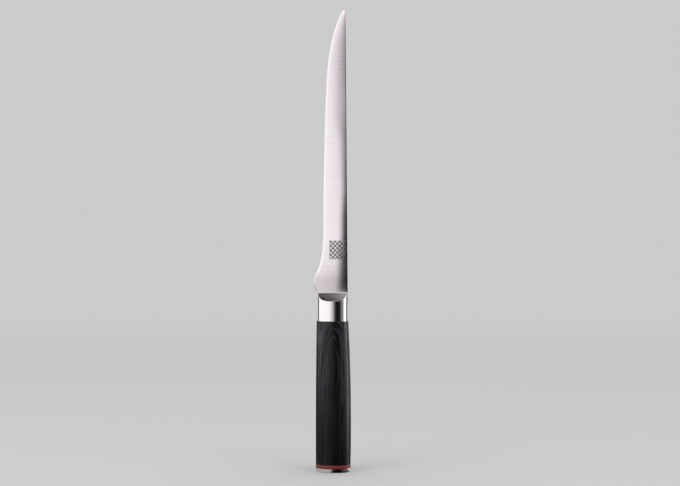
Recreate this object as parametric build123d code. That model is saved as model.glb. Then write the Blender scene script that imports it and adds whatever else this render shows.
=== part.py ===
from build123d import *
import os
from math import copysign, cos, radians, sin, tan

# Fillet knife, in millimetres. +Z runs from the butt to the tip, +X from the edge to the
# spine, and the origin is the middle of the flat butt that the knife stands on.

# End cap
cap_thickness = 2.7
cap_rim_round = 1.7
spigot_height = 8.2
spigot_wall = 1.1

# Red liner between the end cap and the handle
liner_thickness = 2.5

# Handle: an oval barrel that swells a little towards the rear, where a shift moves the
# middle of its section towards the spine
handle_length = 101.4
handle_front_width = 22.5
handle_front_thickness = 18.4
handle_front_shift = -0.35
handle_belly_width = 25.0
handle_belly_thickness = 20.3
handle_belly_shift = 0.35
handle_belly_height = 31.0
handle_rear_width = 24.6
handle_rear_thickness = 20.0
handle_rear_shift = 0.2
handle_front_round = 0.5
handle_bore_diameter = 10.0
counterbore_diameter = 15.0
counterbore_depth = 13.0

# Bolster: a collar whose front slopes down from the blade on both sides, with a hollow
# sweep where the slope meets the blade
bolster_length = 20.7
bolster_width = 21.1
bolster_thickness = 17.6
bolster_shift = -0.1
bolster_slot_depth = 8.7
shoulder_angle = 37.5
shoulder_sweep = 1.6
shoulder_lip = 0.1
shoulder_round = 0.4

# Blade
blade_length = 202.5
edge_reach = 6.8
spine_reach = 10.6
spine_fall = 1.6
tip_drop = 0.4
tip_drop_length = 16.0
tip_flat = 0.3
blade_thickness = 2.2
tip_thickness = 0.7
spine_ease = 0.3
edge_bevel = 0.9
edge_shoulder_thickness = 0.36
edge_flat = 0.06
heel_chamfer = 0.5

# Heel: the edge side flares out to a bump, then runs back in to the bolster
flare_length = 35.4
bump_reach = 7.1
bump_bottom_height = 4.6
bump_top_height = 9.4

# Tang, and the rod, washer and nut that draw the handle against the bolster
tang_width = 9.0
tang_length = 38.0
rod_diameter = 6.0
rod_end_chamfer = 0.6
rod_lap = 12.0
rod_stick_out = 2.3
washer_diameter = 14.0
washer_thickness = 1.2
nut_width = 10.0
nut_height = 5.0
nut_chamfer = 0.6

# Clearances, each on one side
braze_gap = 0.05
tang_clearance = 0.2
lap_clearance = 0.05
thread_clearance = 0.05
washer_hole_clearance = 0.2
spigot_clearance = 0.15

# One overrun for all cuts
overrun = 5.0

# Ovals: a squareness of 2 is an ellipse, and more is squarer
bolster_squareness = 2.6
handle_squareness = 2.3
oval_points = 32

# Steps of the blade's sections, close at the heel and at the tip
heel_steps = 22
middle_steps = 14
tip_steps = 9
halvings = 40

# The most of the blade's width that the bevel and the ease take close to the tip
bevel_limit_share = 0.33
ease_limit_share = 0.17

# The edge in the slot: height as a share of the slot's depth, and reach as a share of the
# way from the bolster's side to the neck
slot_side_shares = [
    (0.00, 0.00),
    (0.28, 0.02),
    (0.42, 0.14),
    (0.54, 0.40),
    (0.76, 0.60),
    (1.00, 1.00),
]

# The neck above the bolster: height as a share of the way up to the bump, and reach as a
# share of the way from the bolster's side to the bump
neck_shares = [
    (0.00, 0.22),
    (0.20, 0.32),
    (0.50, 0.55),
    (0.82, 0.90),
]

# The blunt side of the bump: heights as shares of its own height
bump_shares = [0.20, 0.75]

# The flare: height as a share of its length, and reach as a share of the bump's
flare_shares = [
    (0.05, 0.850),
    (0.14, 0.625),
    (0.22, 0.470),
    (0.30, 0.350),
    (0.46, 0.183),
    (0.62, 0.083),
    (0.78, 0.022),
    (1.00, 0.000),
]

# The belly: height as a share of the way from the flare to the tip, and rise as a share
# of the way from the edge to the tip
belly_shares = [
    (0.110, 0.002),
    (0.215, 0.014),
    (0.310, 0.033),
    (0.400, 0.053),
    (0.490, 0.078),
    (0.580, 0.108),
    (0.672, 0.152),
    (0.764, 0.228),
    (0.809, 0.299),
    (0.855, 0.393),
    (0.900, 0.515),
    (0.945, 0.671),
    (0.970, 0.780),
    (0.985, 0.873),
    (0.994, 0.946),
    (1.000, 1.000),
]

# Places that follow from the sizes
handle_rear = cap_thickness + liner_thickness
handle_front = handle_rear + handle_length
bolster_front = handle_front + bolster_length
slot_bottom = bolster_front - bolster_slot_depth
tip_height = bolster_front + blade_length
tip_reach = spine_reach - spine_fall - tip_drop
bump_bottom = bolster_front + bump_bottom_height
bump_top = bolster_front + bump_top_height
flare_end = bump_top + flare_length
bump_side = -edge_reach - bump_reach
bolster_side = bolster_shift - bolster_width / 2
tang_end = slot_bottom - tang_length
counterbore_floor = handle_rear + counterbore_depth
nut_top = counterbore_floor - washer_thickness
nut_bottom = nut_top - nut_height


def squared(value, squareness):
    """A sine or a cosine, squared off, with its sign kept."""
    return copysign(abs(value) ** (2 / squareness), value)


def oval(width, thickness, shift, squareness, height):
    """A face with the outline of a superellipse, at a height, drawn from one cheek round."""
    points = []
    for step in range(oval_points):
        turn = radians(360 * step / oval_points)
        across = squared(sin(turn), squareness) * width / 2
        deep = squared(cos(turn), squareness) * thickness / 2
        points.append((shift + across, deep, height))
    return make_face(Spline(*points, periodic=True))


def handle_rear_oval(height):
    """The outline that the handle, the liner and the end cap share, at a height."""
    return oval(handle_rear_width, handle_rear_thickness, handle_rear_shift, handle_squareness, height)


def upright(radius, bottom, top):
    """A cylinder on the knife's axis, from one height to another."""
    return Pos(0, 0, (bottom + top) / 2) * Cylinder(radius, top - bottom)


def slab(width, thickness, bottom, top):
    """A box on the knife's axis, from one height to another."""
    return Pos(0, 0, (bottom + top) / 2) * Box(width, thickness, top - bottom)


def reach_at(curve, height):
    """The X of a curve that climbs steadily, where it passes a height."""
    low, high = 0.0, 1.0
    for _ in range(halvings):
        middle = (low + high) / 2
        if (curve @ middle).Z < height:
            low = middle
        else:
            high = middle
    return (curve @ high).X


def edge_line():
    """The edge side of the blade, from the bolster over the bump and the flare to the tip."""
    points = []
    for up_share, out_share in neck_shares:
        reach = bolster_side + out_share * (bump_side - bolster_side)
        points.append((reach, 0, bolster_front + up_share * bump_bottom_height))
    for up_share in bump_shares:
        points.append((bump_side, 0, bump_bottom + up_share * (bump_top - bump_bottom)))
    for up_share, out_share in flare_shares:
        points.append((-edge_reach - out_share * bump_reach, 0, bump_top + up_share * flare_length))
    for up_share, rise_share in belly_shares:
        rise = rise_share * (edge_reach + tip_reach)
        points.append((-edge_reach + rise, 0, flare_end + up_share * (tip_height - flare_end)))
    return Spline(*points)


edge_side = edge_line()


def spine_at(height):
    """The X of the spine, which falls slowly and then drops to the tip."""
    along = (height - bolster_front) / blade_length
    into_drop = max(0, height - tip_height + tip_drop_length) / tip_drop_length
    return spine_reach - spine_fall * along - tip_drop * into_drop**2


def heel_share_at(height):
    """How much of the heel's thickness is left: all at the bump, none past the flare."""
    left = min(1, max(0, (flare_end - height) / flare_length))
    return left**3


def blade_section(height):
    """The blade's eight-cornered section: eased spine, flat cheeks and bevelled edge."""
    along = (height - bolster_front) / blade_length
    heel = heel_share_at(height)
    edge = reach_at(edge_side, height)
    spine = spine_at(height)
    thick = blade_thickness + along * (tip_thickness - blade_thickness)
    shoulder = edge_shoulder_thickness + heel * (thick - edge_shoulder_thickness)
    flat = edge_flat + heel * (thick - 2 * heel_chamfer - edge_flat)
    bevel = edge_bevel + heel * (heel_chamfer - edge_bevel)
    bevel = min(bevel, bevel_limit_share * (spine - edge))
    ease = min(spine_ease, ease_limit_share * (spine - edge))
    cheek = [(spine - ease, thick / 2), (edge + bevel, shoulder / 2), (edge, flat / 2)]
    other_cheek = [(x, -y) for x, y in reversed(cheek)]
    back = [(spine, ease - thick / 2), (spine, thick / 2 - ease)]
    corners = [(x, y, height) for x, y in cheek + other_cheek + back]
    return make_face(Polyline(*corners, close=True))


def section_heights():
    """The heights of the blade's sections."""
    drop_start = tip_height - tip_drop_length
    last = tip_height - tip_flat
    heights = []
    for step in range(heel_steps):
        heights.append(bolster_front + (flare_end - bolster_front) * step / heel_steps)
    for step in range(middle_steps):
        heights.append(flare_end + (drop_start - flare_end) * step / middle_steps)
    for step in range(tip_steps + 1):
        heights.append(drop_start + (last - drop_start) * step / tip_steps)
    return heights


def blade_seat():
    """The flat stretch of the blade that is brazed into the bolster's slot."""
    neck = reach_at(edge_side, bolster_front)
    points = []
    for up_share, out_share in slot_side_shares:
        height = slot_bottom + up_share * bolster_slot_depth
        points.append((bolster_side + out_share * (neck - bolster_side), 0, height))
    side = Spline(*points)
    top = Line(side @ 1, (spine_reach, 0, bolster_front))
    back = Line(top @ 1, (spine_reach, 0, slot_bottom))
    base = Line(back @ 1, side @ 0)
    outline = make_face(side + top + back + base)
    return extrude(outline, blade_thickness / 2, dir=(0, 1, 0), both=True)


def blade():
    """The blade with the stretch that sits in the bolster and its stub tang."""
    body = loft([blade_section(height) for height in section_heights()])
    tang = slab(tang_width, blade_thickness, tang_end, slot_bottom)
    return body + blade_seat() + tang


def shoulder_cutter():
    """What is cut away in front of the sloped shoulder on the +Y side."""
    lip = blade_thickness / 2 + braze_gap + shoulder_lip
    slope = radians(shoulder_angle)
    outer = bolster_thickness / 2 + overrun
    above = bolster_front + overrun
    middle_y = lip + shoulder_sweep
    foot_y = middle_y - shoulder_sweep * sin(slope)
    foot_z = bolster_front - shoulder_sweep * cos(slope)
    sweep = CenterArc((middle_y, bolster_front), shoulder_sweep, 180, 90 - shoulder_angle)
    fall = Line((foot_y, foot_z), (outer, foot_z - (outer - foot_y) * tan(slope)))
    rest = Polyline(fall @ 1, (outer, above), (lip, above), (lip, bolster_front))
    profile = make_face(sweep + fall + rest)
    return extrude(Plane.YZ * profile, bolster_width, both=True)


def bolster():
    """The collar with its sloped shoulders, the slot for the blade and the tang's hole."""
    outline = oval(bolster_width, bolster_thickness, bolster_shift, bolster_squareness, handle_front)
    cutter = shoulder_cutter()
    body = extrude(outline, bolster_length) - cutter - mirror(cutter, Plane.XZ)
    between = body.edges().filter_by_position(Axis.Z, handle_front, bolster_front, inclusive=(False, False))
    body = fillet(between.filter_by(GeomType.LINE, reverse=True), shoulder_round)
    slot_width = bolster_width + 2 * overrun
    slot_thickness = blade_thickness + 2 * braze_gap
    slot = slab(slot_width, slot_thickness, slot_bottom, bolster_front + overrun)
    hole_width = tang_width + 2 * tang_clearance
    hole_thickness = blade_thickness + 2 * tang_clearance
    hole = slab(hole_width, hole_thickness, handle_front - overrun, slot_bottom + overrun)
    return body - slot - hole


def handle():
    """The barrel with its bore and the counterbore for the nut and the cap's spigot."""
    front = oval(
        handle_front_width, handle_front_thickness, handle_front_shift, handle_squareness, handle_front
    )
    belly = oval(
        handle_belly_width, handle_belly_thickness, handle_belly_shift, handle_squareness,
        handle_rear + handle_belly_height,
    )
    body = loft([handle_rear_oval(handle_rear), belly, front])
    body = fillet(body.edges().group_by(Axis.Z)[-1], handle_front_round)
    bore = upright(handle_bore_diameter / 2, handle_rear - overrun, handle_front + overrun)
    pocket = upright(counterbore_diameter / 2, handle_rear - overrun, counterbore_floor)
    return body - bore - pocket


def tang_rod():
    """The rod, forked over the end of the tang and threaded at the rear."""
    rod = upright(rod_diameter / 2, nut_bottom - rod_stick_out, tang_end + rod_lap)
    rod = chamfer(rod.edges().sort_by(Axis.Z)[0], rod_end_chamfer)
    fork = slab(
        rod_diameter + overrun, blade_thickness + 2 * lap_clearance, tang_end,
        tang_end + rod_lap + overrun,
    )
    return rod - fork


def tang_washer():
    """The washer on the floor of the counterbore."""
    disc = upright(washer_diameter / 2, nut_top, counterbore_floor)
    hole = upright(rod_diameter / 2 + washer_hole_clearance, nut_top - overrun, counterbore_floor + overrun)
    return disc - hole


def tang_nut():
    """The hexagon nut below the washer, with its corners turned off at both faces."""
    outline = RegularPolygon(nut_width / 2, 6, major_radius=False)
    prism = extrude(Pos(0, 0, nut_bottom) * outline, nut_height)
    corner = nut_width / 2 / cos(radians(30))
    turned = upright(corner, nut_bottom, nut_top)
    turned = chamfer(turned.edges().filter_by(GeomType.CIRCLE), nut_chamfer)
    hole = upright(rod_diameter / 2 + thread_clearance, nut_bottom - overrun, nut_top + overrun)
    return (prism & turned) - hole


def red_liner():
    """The spacer between the handle and the end cap, with a hole for the spigot."""
    plate = extrude(handle_rear_oval(cap_thickness), liner_thickness)
    return plate - upright(counterbore_diameter / 2, cap_thickness - overrun, handle_rear + overrun)


def end_cap():
    """The cap with its rounded rim and the hollow spigot that goes up into the handle."""
    plate = extrude(handle_rear_oval(0), cap_thickness)
    plate = fillet(plate.edges().group_by(Axis.Z)[0], cap_rim_round)
    spigot_radius = counterbore_diameter / 2 - spigot_clearance
    spigot_top = cap_thickness + spigot_height
    spigot = upright(spigot_radius, cap_thickness, spigot_top)
    hollow = upright(spigot_radius - spigot_wall, cap_thickness, spigot_top + overrun)
    return plate + (spigot - hollow)


pieces = {
    "blade": blade,
    "bolster": bolster,
    "handle": handle,
    "tang_rod": tang_rod,
    "tang_washer": tang_washer,
    "tang_nut": tang_nut,
    "red_liner": red_liner,
    "end_cap": end_cap,
}

os.makedirs("parts", exist_ok=True)
for name, make in pieces.items():
    export_step(make(), f"parts/{name}.step")
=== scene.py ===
from collections import namedtuple
from math import cos, pi, radians, sin, tan

import bpy
import numpy as np
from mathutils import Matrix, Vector


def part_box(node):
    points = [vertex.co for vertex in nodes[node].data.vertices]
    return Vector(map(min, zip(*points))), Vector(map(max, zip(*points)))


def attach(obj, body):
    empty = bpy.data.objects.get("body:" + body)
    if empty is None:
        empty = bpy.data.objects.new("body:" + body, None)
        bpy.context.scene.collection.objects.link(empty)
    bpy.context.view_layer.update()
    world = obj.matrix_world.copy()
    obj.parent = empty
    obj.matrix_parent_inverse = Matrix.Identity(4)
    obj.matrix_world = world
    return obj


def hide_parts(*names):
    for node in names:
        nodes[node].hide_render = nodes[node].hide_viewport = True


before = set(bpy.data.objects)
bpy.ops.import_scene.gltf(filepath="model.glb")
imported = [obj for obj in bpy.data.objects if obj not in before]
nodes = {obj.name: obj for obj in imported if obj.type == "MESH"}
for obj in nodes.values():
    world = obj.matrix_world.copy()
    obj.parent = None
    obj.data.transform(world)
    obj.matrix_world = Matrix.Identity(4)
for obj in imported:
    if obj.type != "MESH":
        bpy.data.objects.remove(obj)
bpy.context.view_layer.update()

# A fillet knife, standing upright on its butt. Sizes are in metres, +X is the spine side and
# the photographed cheek faces -Y.

mm = 0.001

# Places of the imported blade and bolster
blade_low, blade_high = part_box("blade")
bolster_low, bolster_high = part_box("bolster")
tip_flat = 0.3 * mm
tip_height = blade_high[2] + tip_flat
tang_bottom = blade_low[2]
spine_reach = blade_high[0]
bolster_front = bolster_high[2]
bolster_side = bolster_low[0]

# Heights along the blade
slot_bottom = bolster_front - 8.7 * mm
bump_bottom = bolster_front + 4.6 * mm
heel_roll_height = bolster_front + 5.7 * mm
bump_top = bolster_front + 9.4 * mm
neck_height = bolster_front + 22.7 * mm
flare_end = bolster_front + 44.8 * mm
middle_height = bolster_front + 77.7 * mm
second_height = bolster_front + 104.7 * mm
upper_height = bolster_front + 134.7 * mm

# Blade
blade_length = tip_height - bolster_front
blade_thickness = blade_high[1] - blade_low[1]
tip_thickness = 0.7 * mm
edge_reach = 6.8 * mm
bump_reach = 7.1 * mm
spine_fall = 1.6 * mm
tip_drop = 0.4 * mm
tip_drop_length = 16.0 * mm
tang_half = 4.5 * mm
edge_bevel = 0.9 * mm
edge_shoulder_thickness = 0.36 * mm
edge_flat = 0.06 * mm
heel_chamfer = 0.45 * mm
spine_round = 0.22 * mm

# The most that small forms take of a narrow section
bevel_width_share = 1 / 3
round_width_share = 1 / 6
round_thickness_share = 1 / 4
roll_cheek_share = 0.9

# Where the corners of the bevel and of the spine have extra points, which keep them crisp
bevel_corner = 0.06
spine_corner = 0.9

# Steps of the blade's mesh
cheek_steps = 28
spine_round_steps = 4
line_steps = 4000
slot_rows = 15
heel_rows = 90
middle_rows = 60
tip_rows = 50
smooth_angle = radians(35)

# The cheeks have a crown, and a roll towards the spine that is strongest at the heel
CheekForm = namedtuple("CheekForm", "height crown roll_angle roll_width roll_power")
cheek_forms = [
    CheekForm(bolster_front, 0.00 * mm, radians(4.5), 9.6 * mm, 1.3),
    CheekForm(heel_roll_height, 0.00 * mm, radians(8.0), 9.3 * mm, 1.5),
    CheekForm(bump_top, 0.01 * mm, radians(8.0), 9.0 * mm, 1.6),
    CheekForm(neck_height, 0.03 * mm, radians(8.5), 9.1 * mm, 1.4),
    CheekForm(flare_end, 0.06 * mm, radians(8.5), 7.0 * mm, 1.6),
    CheekForm(middle_height, 0.08 * mm, radians(4.5), 5.6 * mm, 1.6),
    CheekForm(second_height, 0.08 * mm, radians(3.2), 6.6 * mm, 1.3),
    CheekForm(upper_height, 0.08 * mm, radians(1.5), 13.5 * mm, 0.6),
    CheekForm(tip_height, 0.08 * mm, radians(1.4), 13.5 * mm, 0.5),
]
crown_full_width = 14.6 * mm

# The edge line, as in the solid: heights as shares of each stretch, with reaches as shares
slot_side_shares = [(0, 0), (0.28, 0.02), (0.42, 0.14), (0.54, 0.40), (0.76, 0.60), (1, 1)]
neck_shares = [(0, 0.22), (0.20, 0.32), (0.50, 0.55), (0.82, 0.90)]
bump_shares = [0.20, 0.75]
flare_shares = [
    (0.05, 0.850), (0.14, 0.625), (0.22, 0.470), (0.30, 0.350), (0.46, 0.183), (0.62, 0.083),
    (0.78, 0.022), (1.00, 0.000),
]
belly_shares = [
    (0.110, 0.002), (0.215, 0.014), (0.310, 0.033), (0.400, 0.053), (0.490, 0.078),
    (0.580, 0.108), (0.672, 0.152), (0.764, 0.228), (0.809, 0.299), (0.855, 0.393),
    (0.900, 0.515), (0.945, 0.671), (0.970, 0.780), (0.985, 0.873), (0.994, 0.946),
    (1.000, 1.000),
]

# Patterns, as bumps of noise per metre along X, Y and Z
blade_lines = (45.0, 45.0, 3200.0)
blade_bands = (20.0, 20.0, 520.0)
blade_clouds = (120.0, 120.0, 40.0)
polish_wipes = (90.0, 90.0, 2500.0)
bolster_wipes = (70.0, 70.0, 1500.0)
slope_lines = (60.0, 4200.0, 4200.0)
steel_clouds = (160.0, 160.0, 120.0)
ring_wobbles = (70.0, 70.0, 11.0)
wood_fibres = (2600.0, 2600.0, 40.0)
wood_streaks = (900.0, 700.0, 40.0)
wood_pores = (3200.0, 3200.0, 110.0)
fibre_layers = (300.0, 300.0, 3000.0)

# The stretch of a noise's values over which something changes
most_part = (0.3, 0.7)
middle_part = (0.35, 0.65)
cloud_part = (0.35, 0.7)
streak_part = (0.38, 0.58)
fibre_part = (0.45, 0.75)
pore_part = (0.60, 0.68)

# Colours, as linear red, green and blue
blade_dark = (0.715, 0.655, 0.692)
blade_pale = (0.785, 0.720, 0.760)
blade_narrow = (0.15, 0.145, 0.15)
etched_ground = (0.24, 0.235, 0.24)
bolster_tint = (0.74, 0.705, 0.727)
cap_tint = (0.78, 0.77, 0.76)
hidden_tint = (0.6, 0.6, 0.6)
wood_dark = (0.003, 0.003, 0.0035)
wood_pale = (0.090, 0.088, 0.106)
pore_dark = (0.002, 0.002, 0.002)
# The liner's upper reds are a painted highlight, its lower reds the darker rest
highlight_reds = ((0.21, 0.028, 0.030), (0.27, 0.040, 0.042))
lower_reds = ((0.12, 0.013, 0.013), (0.16, 0.019, 0.018))
white = (1.0, 1.0, 1.0, 1.0)

# Blade steel: satin on the cheeks, and darker and duller on the narrow faces that look along X
blade_smooth = 0.195
blade_rough = 0.215
blade_cloud_rough = 0.01
narrow_start = 0.6
narrow_end = 0.9
narrow_rough = 0.15
etched_rough = 0.2
etched_depth = 4.0
blade_relief = 0.002 * mm
blade_bump = 0.35
narrow_bump = 0.05
grind_stretch = 0.3
grind_turn = 0.25

# Polished steel
cap_rough = 0.14
hidden_rough = 0.3
wipe_rough = 0.03
cloud_rough = 0.02
polish_relief = 0.002 * mm
polish_bump = 0.3
bolster_rough = 0.12
slope_rough = 0.03
slope_start = 0.35
slope_end = 0.5
bolster_wipe_depth = 0.25
slope_line_depth = 1.6
bolster_relief = 0.003 * mm

# Mark: a plain etched panel with a fine lattice, on the cheek that faces -Y. Its lines lie
# where a sine of the place is below mark_line
mark_left = -2.8 * mm
mark_right = 7.1 * mm
mark_bottom = bolster_front + 23.1 * mm
mark_top = bolster_front + 36.6 * mm
mark_border = 0.25 * mm
mark_pitch = 3.2 * mm
mark_line = 0.20

# Growth rings of the wood: they lean in towards the top, where they show as arches on the front
ring_gap = 0.75 * mm
ring_lean = 0.26
ring_lean_height = 100.0 * mm
ring_lean_fade = 10.0 * mm
ring_wobble = 0.5
pith_across = 1.1 * mm
pith_depth = -4.1 * mm
late_rise = (0.15, 0.55)
late_fall = (0.8, 1.0)
faintest_ring = 0.3

# How pale the grain is, with painted shade on it: a painted dark middle, painted shade towards
# the butt and at the edge side's rim, and a little fainter on the spine side
dark_middle = 0.8 * mm
dark_half = 2.5 * mm
pale_half = 6.5 * mm
middle_shade_level = 0.2
dark_top = 86.0 * mm
pale_top = 95.0 * mm
top_level = 0.65
# Painted shade on the grain towards the butt
butt_shade_low = 15.0 * mm
butt_shade_high = 98.0 * mm
butt_shade_level = 0.24
# Painted shade on the grain at the edge side's rim
rim_low = -12.0 * mm
rim_high = -8.0 * mm
rim_level = 0.3
spine_side_near = 3.0 * mm
spine_side_far = 6.0 * mm
spine_side_level = 0.8
fibre_pale = 0.3

# Wood surface, waxed
late_relief = 0.8
fibre_relief = 0.5
pore_relief = 0.5
wood_relief = 0.04 * mm
wood_bump = 0.5
wood_rough = 0.28
wood_waxed = 0.20
pore_rough = 0.2
wood_shine = 0.27

# Red liner: its upper half is painted lighter than the lower, as a highlight, from its middle
highlight_blend = 0.15 * mm
liner_relief = 0.01 * mm
liner_bump = 0.3
liner_rough = 0.3

# Camera: turned a little towards the spine, a little under the knife's middle
camera_azimuth = radians(4.4)
camera_distance = 0.8912
camera_height = 0.1498
camera_lens = 66.18
sensor_width = 36
aim_across = 0.005
aim_height = 0.1621

# World and floor
pale_level = 0.60
soft_level = 0.90
floor_shade = 0.60
floor_rough = 0.9
floor_half = 3.0
floor_fade_start = 0.5
floor_fade_end = 2.6

# Surround: a ring with a disc for its floor, and a lid over the part. Only mirrors show them
surround_radius = 0.62
surround_bottom = 0.2 * mm
surround_top = 0.75
surround_hole = 2.0 * mm
circle_steps = 72
lid_height = 0.55
lid_radius = 0.20
lid_dark_side = -43 * mm
lid_pale_side = -11 * mm
lid_level = 0.62

# What the steel reflects: azimuths in degrees from -Y towards +X, and the level there
surround_peak = 2.9
surround_levels = [
    (-180, 0.8), (-175, 0.8), (-168, 0.2), (-160, 0.05), (-130, 0.06), (-122, 0.6), (-112, 1.35),
    (-20, 1.35), (-12, 1.3), (-7, 1.15), (-3.5, 0.68), (0, 0.2), (3, 0.05), (7, 0.01), (31, 0.01),
    (38, 0.05), (44, 0.17), (53, 0.24), (61, 0.30), (70, 0.38), (79, 0.65), (90, 2.9), (112, 2.9),
    (121, 0.5), (128, 0.08), (134, 0.2), (142, 0.4), (160, 0.3), (168, 0.4), (174, 0.65),
    (180, 0.8),
]

# The disc is darker close to the part, by its distance from the part's axis
shade_near = 0.02
shade_far = 0.45
shade_level = 0.26

# From dim_start to dim_end, as azimuths, the surround gets dimmer towards -X: on the disc and
# on the wall up to dim_top. A glint close to the part stays brighter
dim_start = radians(4)
dim_end = radians(-8)
dim_near = 0.26
dim_near_level = 0.18
dim_rim_level = 0.42
dim_top = 66 * mm
glint_end = 0.12
glint_level = 0.34

# Past back_start and up to back_high, the dim side is dimmer still
back_start = radians(-90)
back_end = radians(-118)
back_level = 0.4
back_low = 25 * mm
back_high = 72 * mm

# Lamps: azimuths from -Y towards +X
lamp_size = 0.6
lamp_distance = 1.2
lamp_elevation = radians(48)
key_azimuth = radians(-48)
key_radiance = 1.7
fill_azimuth = radians(52)
fill_radiance = 1.0


class Tree:
    """The node tree of a material or a world, filled call by call."""

    def __init__(self, owner):
        owner.use_nodes = True
        self.tree = owner.node_tree
        self.tree.nodes.clear()

    def add(self, kind, inputs=None, **settings):
        """Adds a node. Inputs that are sockets are linked, and the others are set."""
        node = self.tree.nodes.new(kind)
        for name, value in settings.items():
            setattr(node, name, value)
        for name, value in (inputs or {}).items():
            socket = node.inputs[name]
            if isinstance(value, bpy.types.NodeSocket):
                self.tree.links.new(value, socket)
            else:
                socket.default_value = value
        return node

    def math(self, operation, first, *others):
        """The result of a Math node, or of a chain of them for more than two values."""
        result = first
        for other in others or (0.0,):
            node = self.add("ShaderNodeMath", {0: result, 1: other}, operation=operation)
            result = node.outputs[0]
        return result

    def ramp(self, factor, low, high, bottom=0.0, top=1.0, shape="SMOOTHSTEP"):
        """A value that goes smoothly from bottom to top while the factor goes from low to high."""
        inputs = {
            "Value": factor, "From Min": low, "From Max": high, "To Min": bottom, "To Max": top,
        }
        return self.add("ShaderNodeMapRange", inputs, interpolation_type=shape).outputs[0]

    def linear(self, factor, low, high, bottom=0.0, top=1.0):
        """A value that goes straight from bottom to top while the factor goes from low to high."""
        return self.ramp(factor, low, high, bottom, top, "LINEAR")

    def between(self, value, low, high, soft):
        """1 from low to high and 0 outside, with edges of width soft inside them."""
        rise = self.ramp(value, low, low + soft)
        return self.math("MULTIPLY", rise, self.ramp(value, high - soft, high, 1.0, 0.0))

    def object_point(self):
        """The place in the part, in metres."""
        return self.add("ShaderNodeTexCoord").outputs["Object"]

    def normal(self):
        """The direction that the surface faces."""
        return self.add("ShaderNodeNewGeometry").outputs["Normal"]

    def split(self, vector):
        """The X, Y and Z of a vector."""
        return self.add("ShaderNodeSeparateXYZ", {0: vector}).outputs

    def stretch(self, vector, scale):
        """A vector multiplied along each axis."""
        node = self.add("ShaderNodeVectorMath", {0: vector, 1: scale}, operation="MULTIPLY")
        return node.outputs[0]

    def noise(self, vector, scale, detail=2.0, roughness=0.5):
        """Noise with its own number of bumps per metre along each axis."""
        inputs = {
            "Vector": self.stretch(vector, scale), "Scale": 1.0, "Detail": detail,
            "Roughness": roughness,
        }
        return self.add("ShaderNodeTexNoise", inputs).outputs[0]

    def mix(self, factor, first, second):
        """A blend of two colours."""
        node = self.add("ShaderNodeMix", {"Factor": factor}, data_type="RGBA")
        for socket, value in ((node.inputs[6], first), (node.inputs[7], second)):
            if isinstance(value, bpy.types.NodeSocket):
                self.tree.links.new(value, socket)
            else:
                socket.default_value = (*value, 1.0)
        return node.outputs[2]

    def bump(self, height, strength, depth):
        """The surface's direction with a fine relief on it."""
        inputs = {"Height": height, "Strength": strength, "Distance": depth}
        return self.add("ShaderNodeBump", inputs).outputs[0]

    def finish(self, shader, kind="ShaderNodeOutputMaterial"):
        """Links the shader to the output."""
        self.add(kind, {"Surface": shader.outputs[0]})


def material(name):
    """A new material and its tree."""
    made = bpy.data.materials.new(name)
    return made, Tree(made)


def etched_mark(tree, point):
    """Where the panel is etched: 1 in its ground, 0 on its lattice lines and off the panel."""
    x, y, z = tree.split(point)
    etched = tree.math(
        "MULTIPLY", tree.between(x, mark_left, mark_right, mark_border),
        tree.between(z, mark_bottom, mark_top, mark_border), tree.math("LESS_THAN", y, 0.0),
    )
    for sign in (1.0, -1.0):
        along = tree.math("ADD", x, tree.math("MULTIPLY", z, sign))
        wave = tree.math("SINE", tree.math("MULTIPLY", along, pi / mark_pitch))
        off_line = tree.ramp(tree.math("ABSOLUTE", wave), mark_line, 2.0 * mark_line)
        etched = tree.math("MULTIPLY", etched, off_line)
    return etched


def blade_steel():
    """Satin steel, ground along the width of the blade, with an etched panel near the heel."""
    made, tree = material("blade_steel_look")
    point = tree.object_point()
    lines = tree.noise(point, blade_lines, detail=4.0, roughness=0.6)
    bands = tree.noise(point, blade_bands)
    clouds = tree.noise(point, blade_clouds)
    etched = etched_mark(tree, point)
    shade = tree.math("ADD", tree.math("MULTIPLY", bands, 0.5), tree.math("MULTIPLY", lines, 0.5))
    facing = tree.math("ABSOLUTE", tree.split(tree.normal())[0])
    narrow = tree.ramp(facing, narrow_start, narrow_end)
    steel = tree.mix(tree.linear(shade, *middle_part), blade_dark, blade_pale)
    steel = tree.mix(narrow, steel, blade_narrow)
    rough = tree.math(
        "ADD", tree.linear(shade, *middle_part, blade_smooth, blade_rough),
        tree.linear(clouds, *most_part, -blade_cloud_rough, blade_cloud_rough),
        tree.math("MULTIPLY", etched, etched_rough), tree.math("MULTIPLY", narrow, narrow_rough),
    )
    height = tree.math("SUBTRACT", lines, tree.math("MULTIPLY", etched, etched_depth))
    strength = tree.linear(narrow, 0.0, 1.0, blade_bump, narrow_bump)
    tangent = tree.add("ShaderNodeTangent", direction_type="RADIAL", axis="Z")
    tree.finish(tree.add("ShaderNodeBsdfPrincipled", {
        "Base Color": tree.mix(etched, steel, etched_ground), "Metallic": 1.0, "Roughness": rough,
        "Normal": tree.bump(height, strength, blade_relief), "Anisotropic": grind_stretch,
        "Anisotropic Rotation": grind_turn, "Tangent": tangent.outputs[0],
    }))
    return made


def polished_steel(name, tint, roughness):
    """Polished steel with faint wipe marks."""
    made, tree = material(name)
    point = tree.object_point()
    wipes = tree.noise(point, polish_wipes, detail=3.0)
    clouds = tree.noise(point, steel_clouds)
    rough = tree.math(
        "ADD", tree.linear(wipes, *most_part, roughness, roughness + wipe_rough),
        tree.linear(clouds, *cloud_part, 0.0, cloud_rough),
    )
    tree.finish(tree.add("ShaderNodeBsdfPrincipled", {
        "Base Color": (*tint, 1.0), "Metallic": 1.0, "Roughness": rough,
        "Normal": tree.bump(wipes, polish_bump, polish_relief),
    }))
    return made


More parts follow.
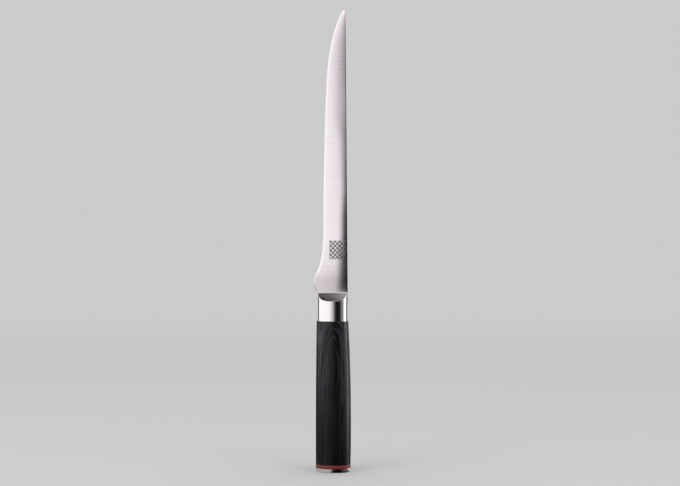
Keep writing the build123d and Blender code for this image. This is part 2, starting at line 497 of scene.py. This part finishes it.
def bolster_steel():
    """Polished steel, with fine lines ground across the two sloped faces."""
    made, tree = material("bolster_look")
    point = tree.object_point()
    slope = tree.ramp(tree.split(tree.normal())[2], slope_start, slope_end)
    wipes = tree.noise(point, bolster_wipes, detail=3.0)
    ground = tree.noise(point, slope_lines, detail=3.0, roughness=0.6)
    clouds = tree.noise(point, steel_clouds)
    rough = tree.math(
        "ADD", tree.linear(clouds, *cloud_part, bolster_rough, bolster_rough + cloud_rough),
        tree.math("MULTIPLY", slope, slope_rough),
    )
    height = tree.math(
        "ADD", tree.math("MULTIPLY", wipes, bolster_wipe_depth),
        tree.math("MULTIPLY", ground, slope, slope_line_depth),
    )
    tree.finish(tree.add("ShaderNodeBsdfPrincipled", {
        "Base Color": (*bolster_tint, 1.0), "Metallic": 1.0, "Roughness": rough,
        "Normal": tree.bump(height, polish_bump, bolster_relief),
    }))
    return made


def growth_rings(tree, point):
    """The growth ring that each place lies in, counted in rings: arches in front, lines beside."""
    wobble = tree.linear(tree.noise(point, ring_wobbles), *most_part, -ring_wobble, ring_wobble)
    x, y, z = tree.split(point)
    across = tree.math("SUBTRACT", x, pith_across)
    deep = tree.math("SUBTRACT", y, pith_depth)
    squares = tree.math(
        "ADD", tree.math("MULTIPLY", across, across), tree.math("MULTIPLY", deep, deep)
    )
    up = tree.math("DIVIDE", tree.math("SUBTRACT", z, ring_lean_height), ring_lean_fade)
    lean = tree.math("MULTIPLY", tree.math("EXPONENT", up), ring_lean * ring_lean_fade)
    away = tree.math("ADD", tree.math("SQRT", squares), lean)
    return tree.math("ADD", tree.math("DIVIDE", away, ring_gap), wobble)


def late_wood(tree, rings):
    """The late wood of each ring, from 0 to 1, with some rings fainter than others."""
    ring = tree.math("FRACT", rings)
    count = {"W": tree.math("FLOOR", rings)}
    chance = tree.add("ShaderNodeTexWhiteNoise", count, noise_dimensions="1D").outputs["Value"]
    return tree.math(
        "MULTIPLY", tree.ramp(ring, *late_rise), tree.ramp(ring, *late_fall, 1.0, 0.0),
        tree.linear(chance, 0.0, 1.0, faintest_ring, 1.0),
    )


def grain_and_shade_level(tree, point):
    """How pale the grain is at each place of the handle, from 0 to 1, with painted shade on it."""
    x, y, z = tree.split(point)
    off = tree.math("ABSOLUTE", tree.math("SUBTRACT", x, dark_middle))
    level = tree.math(
        "MAXIMUM", tree.ramp(off, dark_half, pale_half, middle_shade_level, 1.0),
        tree.ramp(z, dark_top, pale_top, 0.0, top_level),
    )
    return tree.math(
        "MULTIPLY", level, tree.ramp(z, butt_shade_low, butt_shade_high, butt_shade_level, 1.0),
        tree.ramp(x, rim_low, rim_high, rim_level, 1.0),
        tree.ramp(x, spine_side_near, spine_side_far, 1.0, spine_side_level),
    )


def black_wood():
    """Black stained wood: rings cut at a slant, long fibres and open pores, waxed, with painted
    shade.
    """
    made, tree = material("black_wood_look")
    point = tree.object_point()
    x, y, z = tree.split(point)
    rings = growth_rings(tree, point)
    late = late_wood(tree, rings)
    unrolled = {0: tree.math("MULTIPLY", rings, ring_gap), 1: y, 2: z}
    along = tree.add("ShaderNodeCombineXYZ", unrolled).outputs[0]
    fibres = tree.noise(along, wood_fibres, detail=3.0, roughness=0.6)
    streaks = tree.noise(along, wood_streaks)
    pores = tree.ramp(tree.noise(point, wood_pores), *pore_part)
    pale = tree.math(
        "ADD", tree.math("MULTIPLY", tree.linear(streaks, *streak_part), late),
        tree.math("MULTIPLY", tree.linear(fibres, *fibre_part), fibre_pale),
    )
    # The grain, dimmed by painted shade in the middle, towards the butt and at the edge side's rim
    grain = tree.math("MULTIPLY", pale, grain_and_shade_level(tree, point))
    relief = tree.math(
        "ADD", tree.math("MULTIPLY", late, late_relief), tree.math("MULTIPLY", fibres, fibre_relief),
        tree.math("MULTIPLY", pores, -pore_relief),
    )
    rough = tree.math(
        "ADD", tree.linear(streaks, *most_part, wood_rough, wood_waxed),
        tree.math("MULTIPLY", pores, pore_rough),
    )
    tree.finish(tree.add("ShaderNodeBsdfPrincipled", {
        "Base Color": tree.mix(pores, tree.mix(grain, wood_dark, wood_pale), pore_dark),
        "Roughness": rough, "Normal": tree.bump(relief, wood_bump, wood_relief),
        "Specular IOR Level": wood_shine,
    }))
    return made


def red_fibre():
    """Red vulcanised fibre, its upper half painted lighter as a highlight, ground flush with the
    wood.
    """
    made, tree = material("red_fibre_look")
    point = tree.object_point()
    low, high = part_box("red_liner")
    middle = (low[2] + high[2]) / 2
    # Painted highlight: the liner's upper half is lighter
    highlit_half = tree.ramp(tree.split(point)[2], middle - highlight_blend, middle + highlight_blend)
    layers = tree.noise(point, fibre_layers, detail=3.0)
    shade = tree.linear(layers, *most_part)
    colour = tree.mix(highlit_half, tree.mix(shade, *lower_reds), tree.mix(shade, *highlight_reds))
    tree.finish(tree.add("ShaderNodeBsdfPrincipled", {
        "Base Color": colour, "Roughness": liner_rough,
        "Normal": tree.bump(layers, liner_bump, liner_relief),
    }))
    return made


def part_way(start, end, share):
    """The value at a share of the way from start to end."""
    return start + share * (end - start)


def smoothstep(value, low, high):
    """0 below low, 1 above high, smooth between them."""
    share = min(1, max(0, (value - low) / (high - low)))
    return share * share * (3 - 2 * share)


def natural_spline(knots, values, at):
    """A natural cubic spline through the values at the knots, read at other places."""
    gaps = np.diff(knots)
    rises = np.diff(values) / gaps
    count = len(knots)
    system, right = np.eye(count), np.zeros(count)
    for i in range(1, count - 1):
        system[i, i - 1:i + 2] = gaps[i - 1], 2 * (gaps[i - 1] + gaps[i]), gaps[i]
        right[i] = 3 * (rises[i] - rises[i - 1])
    bend = np.linalg.solve(system, right)
    piece = np.clip(np.searchsorted(knots, at) - 1, 0, count - 2)
    step, gap = at - knots[piece], gaps[piece]
    slope = rises[piece] - gap * (2 * bend[piece] + bend[piece + 1]) / 3
    cubic = (bend[piece + 1] - bend[piece]) / (3 * gap)
    return values[piece] + step * (slope + step * (bend[piece] + step * cubic))


def smooth_line(points):
    """A smooth line through (reach, height) points, as dense heights and reaches."""
    points = np.array(points, float)
    lengths = np.hypot(*np.diff(points, axis=0).T)
    knots = np.concatenate([[0], np.cumsum(lengths)])
    at = np.linspace(0, knots[-1], line_steps)
    return natural_spline(knots, points[:, 1], at), natural_spline(knots, points[:, 0], at)


def edge_points():
    """The points of the edge line above the bolster: neck, bump, flare and belly."""
    bump_side = -edge_reach - bump_reach
    tip_reach = spine_reach - spine_fall - tip_drop
    points = []
    for up, out in neck_shares:
        height = part_way(bolster_front, bump_bottom, up)
        points.append((part_way(bolster_side, bump_side, out), height))
    for up in bump_shares:
        points.append((bump_side, part_way(bump_bottom, bump_top, up)))
    for up, out in flare_shares:
        points.append((part_way(-edge_reach, bump_side, out), part_way(bump_top, flare_end, up)))
    for up, rise in belly_shares:
        points.append((part_way(-edge_reach, tip_reach, rise), part_way(flare_end, tip_height, up)))
    return points


def slot_points():
    """The points of the edge line in the bolster's slot."""
    neck_reach = edge_points()[0][0]
    points = []
    for up, out in slot_side_shares:
        height = part_way(slot_bottom, bolster_front, up)
        points.append((part_way(bolster_side, neck_reach, out), height))
    return points


def cheek_form(height):
    """The form of the cheeks at a height, smooth between the rows of the table."""
    above = [row for row in cheek_forms if row.height > height][:1] or cheek_forms[-1:]
    high = above[0]
    low = cheek_forms[max(0, cheek_forms.index(high) - 1)]
    if high is low:
        return low
    share = smoothstep(height, low.height, high.height)
    return CheekForm(*(part_way(a, b, share) for a, b in zip(low, high)))


def cheek_points(start, end, high, low, form):
    """One cheek from the spine to the bevel, with its crown and its roll towards the spine."""
    roll_width = min(form.roll_width, (start - end) * roll_cheek_share)
    points = []
    for step in range(cheek_steps + 1):
        share = step / cheek_steps
        x = part_way(start, end, share)
        crowned = part_way(high, low, share) + 4 * form.crown * share * (1 - share)
        into_roll = max(0, roll_width - (start - x))
        steepness = tan(form.roll_angle) * (into_roll / roll_width) ** form.roll_power
        points.append((x, crowned - into_roll * steepness / (form.roll_power + 1)))
    return points


def blade_loop(edge, spine, thick, heel, form):
    """The blade's section: rounded spine, cheeks, and bevelled edge."""
    wide = spine - edge
    shoulder = part_way(edge_shoulder_thickness, thick, heel) / 2
    flat = part_way(edge_flat, thick - 2 * heel_chamfer, heel) / 2
    bevel = min(part_way(edge_bevel, heel_chamfer, heel), wide * bevel_width_share)
    round_off = min(spine_round, wide * round_width_share, thick * round_thickness_share)
    form = form._replace(crown=form.crown * min(1, wide / crown_full_width))
    start = spine - round_off
    cheek = cheek_points(start, edge + bevel, thick / 2, shoulder, form)
    centre = cheek[0][1] - round_off
    half = [(spine, 0), (spine, centre * spine_corner)]
    for step in range(spine_round_steps):
        turn = step / spine_round_steps * pi / 2
        half.append((start + round_off * cos(turn), centre + round_off * sin(turn)))
    half += cheek
    for down in (bevel_corner, 0.5, 1 - bevel_corner, 1):
        half.append((edge + bevel * (1 - down), part_way(shoulder, flat, down)))
    half.append((edge, 0))
    return half + [(x, -y) for x, y in reversed(half[1:-1])]


def blade_station(height, edge):
    """A height of the blade with its section there, for an edge at that reach."""
    along = max(0, height - bolster_front) / blade_length
    into_drop = max(0, height - tip_height + tip_drop_length) / tip_drop_length
    spine = spine_reach - spine_fall * along - tip_drop * into_drop ** 2
    heel = min(1, max(0, (flare_end - height) / (flare_end - bump_top))) ** 3
    thick = part_way(blade_thickness, tip_thickness, along)
    return height, blade_loop(edge, spine, thick, heel, cheek_form(height))


def make_blade():
    """The blade with its seat in the bolster and its tang, as one closed mesh."""
    drop_start = tip_height - tip_drop_length
    tang_loop = blade_loop(-tang_half, tang_half, blade_thickness, 1, cheek_forms[0])
    stations = [(tang_bottom, tang_loop), (slot_bottom, tang_loop)]
    seat_heights = np.linspace(slot_bottom, bolster_front, slot_rows)[:-1]
    seat_edges = np.interp(seat_heights, *smooth_line(slot_points()))
    heights = np.concatenate([
        np.linspace(bolster_front, flare_end, heel_rows)[:-1],
        np.linspace(flare_end, drop_start, middle_rows)[:-1],
        np.linspace(drop_start, tip_height - tip_flat, tip_rows),
    ])
    line_heights, line_reaches = smooth_line(edge_points())
    edges = np.interp(heights, line_heights, np.maximum(line_reaches, blade_low[0]))
    stations += [blade_station(height, edge) for height, edge in zip(seat_heights, seat_edges)]
    stations += [blade_station(height, edge) for height, edge in zip(heights, edges)]
    return skin("blade_skin", stations)


def new_object(name, points, faces):
    """A new mesh in an object of the scene."""
    mesh = bpy.data.meshes.new(name)
    mesh.from_pydata(points, [], faces)
    made = bpy.data.objects.new(name, mesh)
    bpy.context.scene.collection.objects.link(made)
    return made


def band_faces(loops, count):
    """The faces that join each loop of points to the next one."""
    faces = []
    for loop in range(loops - 1):
        low, high = loop * count, (loop + 1) * count
        for i in range(count):
            j = (i + 1) % count
            faces.append((low + i, low + j, high + j, high + i))
    return faces


def skin(name, stations):
    """A closed mesh through loops of points at rising heights."""
    points = [(x, y, height) for height, loop in stations for x, y in loop]
    count = len(stations[0][1])
    faces = band_faces(len(stations), count)
    faces.append(tuple(range(count - 1, -1, -1)))
    faces.append(tuple(range(len(points) - count, len(points))))
    made = new_object(name, points, faces)
    made.data.polygons.foreach_set("use_smooth", [True] * len(faces))
    made.data.set_sharp_from_angle(angle=smooth_angle)
    return made


def dress(node, look):
    """Gives a CAD node one material."""
    slots = nodes[node].data.materials
    slots.clear()
    slots.append(look)


def stage_piece(name, points, faces, look):
    """A stage piece with one material."""
    made = new_object(name, points, faces)
    made.data.materials.append(look)
    return made


def mirror_only(made):
    """Lets a stage piece show in reflections, and neither in view nor as a shade."""
    made.visible_camera = False
    made.visible_diffuse = False
    made.visible_shadow = False


def circle(radius, height):
    """Points round a level circle, from -Y towards +X."""
    turns = [2 * pi * step / circle_steps for step in range(circle_steps)]
    return [(radius * sin(turn), -radius * cos(turn), height) for turn in turns]


def make_floor():
    """A wide pale floor that fades into the world."""
    made, tree = material("floor_look")
    matt = tree.add("ShaderNodeBsdfPrincipled", {
        "Base Color": (floor_shade, floor_shade, floor_shade, 1.0), "Roughness": floor_rough,
        "Specular IOR Level": 0.0,
    })
    away = tree.add("ShaderNodeVectorMath", {0: tree.object_point()}, operation="LENGTH")
    fade = tree.ramp(away.outputs["Value"], floor_fade_start, floor_fade_end)
    clear = tree.add("ShaderNodeBsdfTransparent")
    parts = {0: fade, 1: matt.outputs[0], 2: clear.outputs[0]}
    tree.finish(tree.add("ShaderNodeMixShader", parts))
    corners = [(-1, -1), (1, -1), (1, 1), (-1, 1)]
    points = [(x * floor_half, y * floor_half, 0) for x, y in corners]
    stage_piece("floor", points, [(0, 1, 2, 3)], made)


def surround_shades(tree, point, turn):
    """A factor on the levels of the table, from the place on the disc or the wall."""
    x, y, z = tree.split(point)
    away = tree.math(
        "SQRT", tree.math("ADD", tree.math("MULTIPLY", x, x), tree.math("MULTIPLY", y, y))
    )
    plain = tree.linear(away, shade_near, shade_far, shade_level, 1.0)
    dim = tree.math(
        "MAXIMUM", tree.linear(away, dim_near, surround_radius, dim_near_level, dim_rim_level),
        tree.linear(away, shade_near, glint_end, glint_level, 0.0),
    )
    dim = tree.math("ADD", dim, tree.linear(z, 0.0, dim_top, 0.0, 1.0 - dim_rim_level))
    back = tree.math(
        "MAXIMUM", tree.linear(turn, back_end, back_start, back_level, 1.0),
        tree.linear(z, back_low, back_high, back_level, 1.0),
    )
    dim = tree.math("MULTIPLY", dim, back)
    dimmed = tree.linear(turn, dim_end, dim_start, 1.0, 0.0)
    return tree.linear(dimmed, 0.0, 1.0, plain, dim)


def surround_look():
    """Light and dark by azimuth, as the table says, with the shades of the disc and the wall."""
    made, tree = material("surround_look")
    point = tree.object_point()
    x, y, z = tree.split(point)
    turn = tree.math("ARCTAN2", x, tree.math("MULTIPLY", y, -1.0))
    ramp = tree.add("ShaderNodeValToRGB", {"Fac": tree.linear(turn, -pi, pi)})
    stops = ramp.color_ramp.elements
    stops[0].position, stops[1].position = 0.0, 1.0
    for azimuth, _ in surround_levels[1:-1]:
        stops.new((azimuth + 180) / 360)
    for stop, (_, level) in zip(stops, surround_levels):
        share = level / surround_peak
        stop.color = (share, share, share, 1.0)
    strength = tree.math("MULTIPLY", surround_shades(tree, point, turn), surround_peak)
    inputs = {"Color": ramp.outputs[0], "Strength": strength}
    tree.finish(tree.add("ShaderNodeEmission", inputs))
    return made


def make_surround():
    """A ring of light and dark round the part, for the steel to reflect, with a floor in it."""
    points = circle(surround_hole, surround_bottom)
    points += circle(surround_radius, surround_bottom)
    points += circle(surround_radius, surround_top)
    faces = band_faces(len(points) // circle_steps, circle_steps)
    mirror_only(stage_piece("surround", points, faces, surround_look()))


def make_lid():
    """A small level card above the part, dark on the edge side and paler on the spine side."""
    made, tree = material("lid_look")
    across = tree.split(tree.object_point())[0]
    level = tree.ramp(across, lid_dark_side, lid_pale_side, 0.0, lid_level)
    tree.finish(tree.add("ShaderNodeEmission", {"Color": white, "Strength": level}))
    points = circle(lid_radius, lid_height)
    mirror_only(stage_piece("lid", points, [tuple(range(circle_steps))], made))


def make_lamp(name, azimuth, radiance):
    """A square soft lamp that looks at the part's middle from above."""
    light = bpy.data.lights.new(name, "AREA")
    light.shape = "SQUARE"
    light.size = lamp_size
    light.energy = radiance * pi * lamp_size ** 2
    lamp = bpy.data.objects.new(name, light)
    level = cos(lamp_elevation)
    out = Vector((sin(azimuth) * level, -cos(azimuth) * level, sin(lamp_elevation)))
    lamp.location = Vector((0, 0, tip_height / 2)) + lamp_distance * out
    lamp.rotation_euler = (-out).to_track_quat("-Z", "Y").to_euler()
    lamp.visible_camera = False
    lamp.visible_glossy = False
    bpy.context.scene.collection.objects.link(lamp)


def make_world():
    """An even pale surround, as seen and as mirrored, and soft light for the rest."""
    world = bpy.data.worlds.new("studio")
    bpy.context.scene.world = world
    tree = Tree(world)
    path = tree.add("ShaderNodeLightPath").outputs
    seen = tree.math(
        "MAXIMUM", path["Is Camera Ray"], path["Is Glossy Ray"], path["Is Transmission Ray"]
    )
    level = tree.linear(seen, 0.0, 1.0, soft_level, pale_level)
    shader = tree.add("ShaderNodeBackground", {"Color": white, "Strength": level})
    tree.finish(shader, "ShaderNodeOutputWorld")


def make_camera():
    """The camera at the photograph's place."""
    data = bpy.data.cameras.new("camera")
    data.lens = camera_lens
    data.sensor_width = sensor_width
    made = bpy.data.objects.new("camera", data)
    side, front = sin(camera_azimuth), cos(camera_azimuth)
    made.location = (camera_distance * side, -camera_distance * front, camera_height)
    target = Vector((aim_across * front, aim_across * side, aim_height))
    made.rotation_euler = (target - made.location).to_track_quat("-Z", "Y").to_euler()
    bpy.context.scene.collection.objects.link(made)
    bpy.context.scene.camera = made


blade = make_blade()
blade.data.materials.append(blade_steel())
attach(blade, "root")
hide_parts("blade")
dress("bolster", bolster_steel())
dress("handle", black_wood())
dress("red_liner", red_fibre())
dress("end_cap", polished_steel("cap_look", cap_tint, cap_rough))
plain_steel = polished_steel("hidden_steel_look", hidden_tint, hidden_rough)
for hidden in ("tang_rod", "tang_washer", "tang_nut"):
    dress(hidden, plain_steel)

make_floor()
make_world()
make_surround()
make_lid()
make_lamp("key_lamp", key_azimuth, key_radiance)
make_lamp("fill_lamp", fill_azimuth, fill_radiance)
make_camera()

scene = bpy.context.scene
scene.view_settings.view_transform = "Standard"
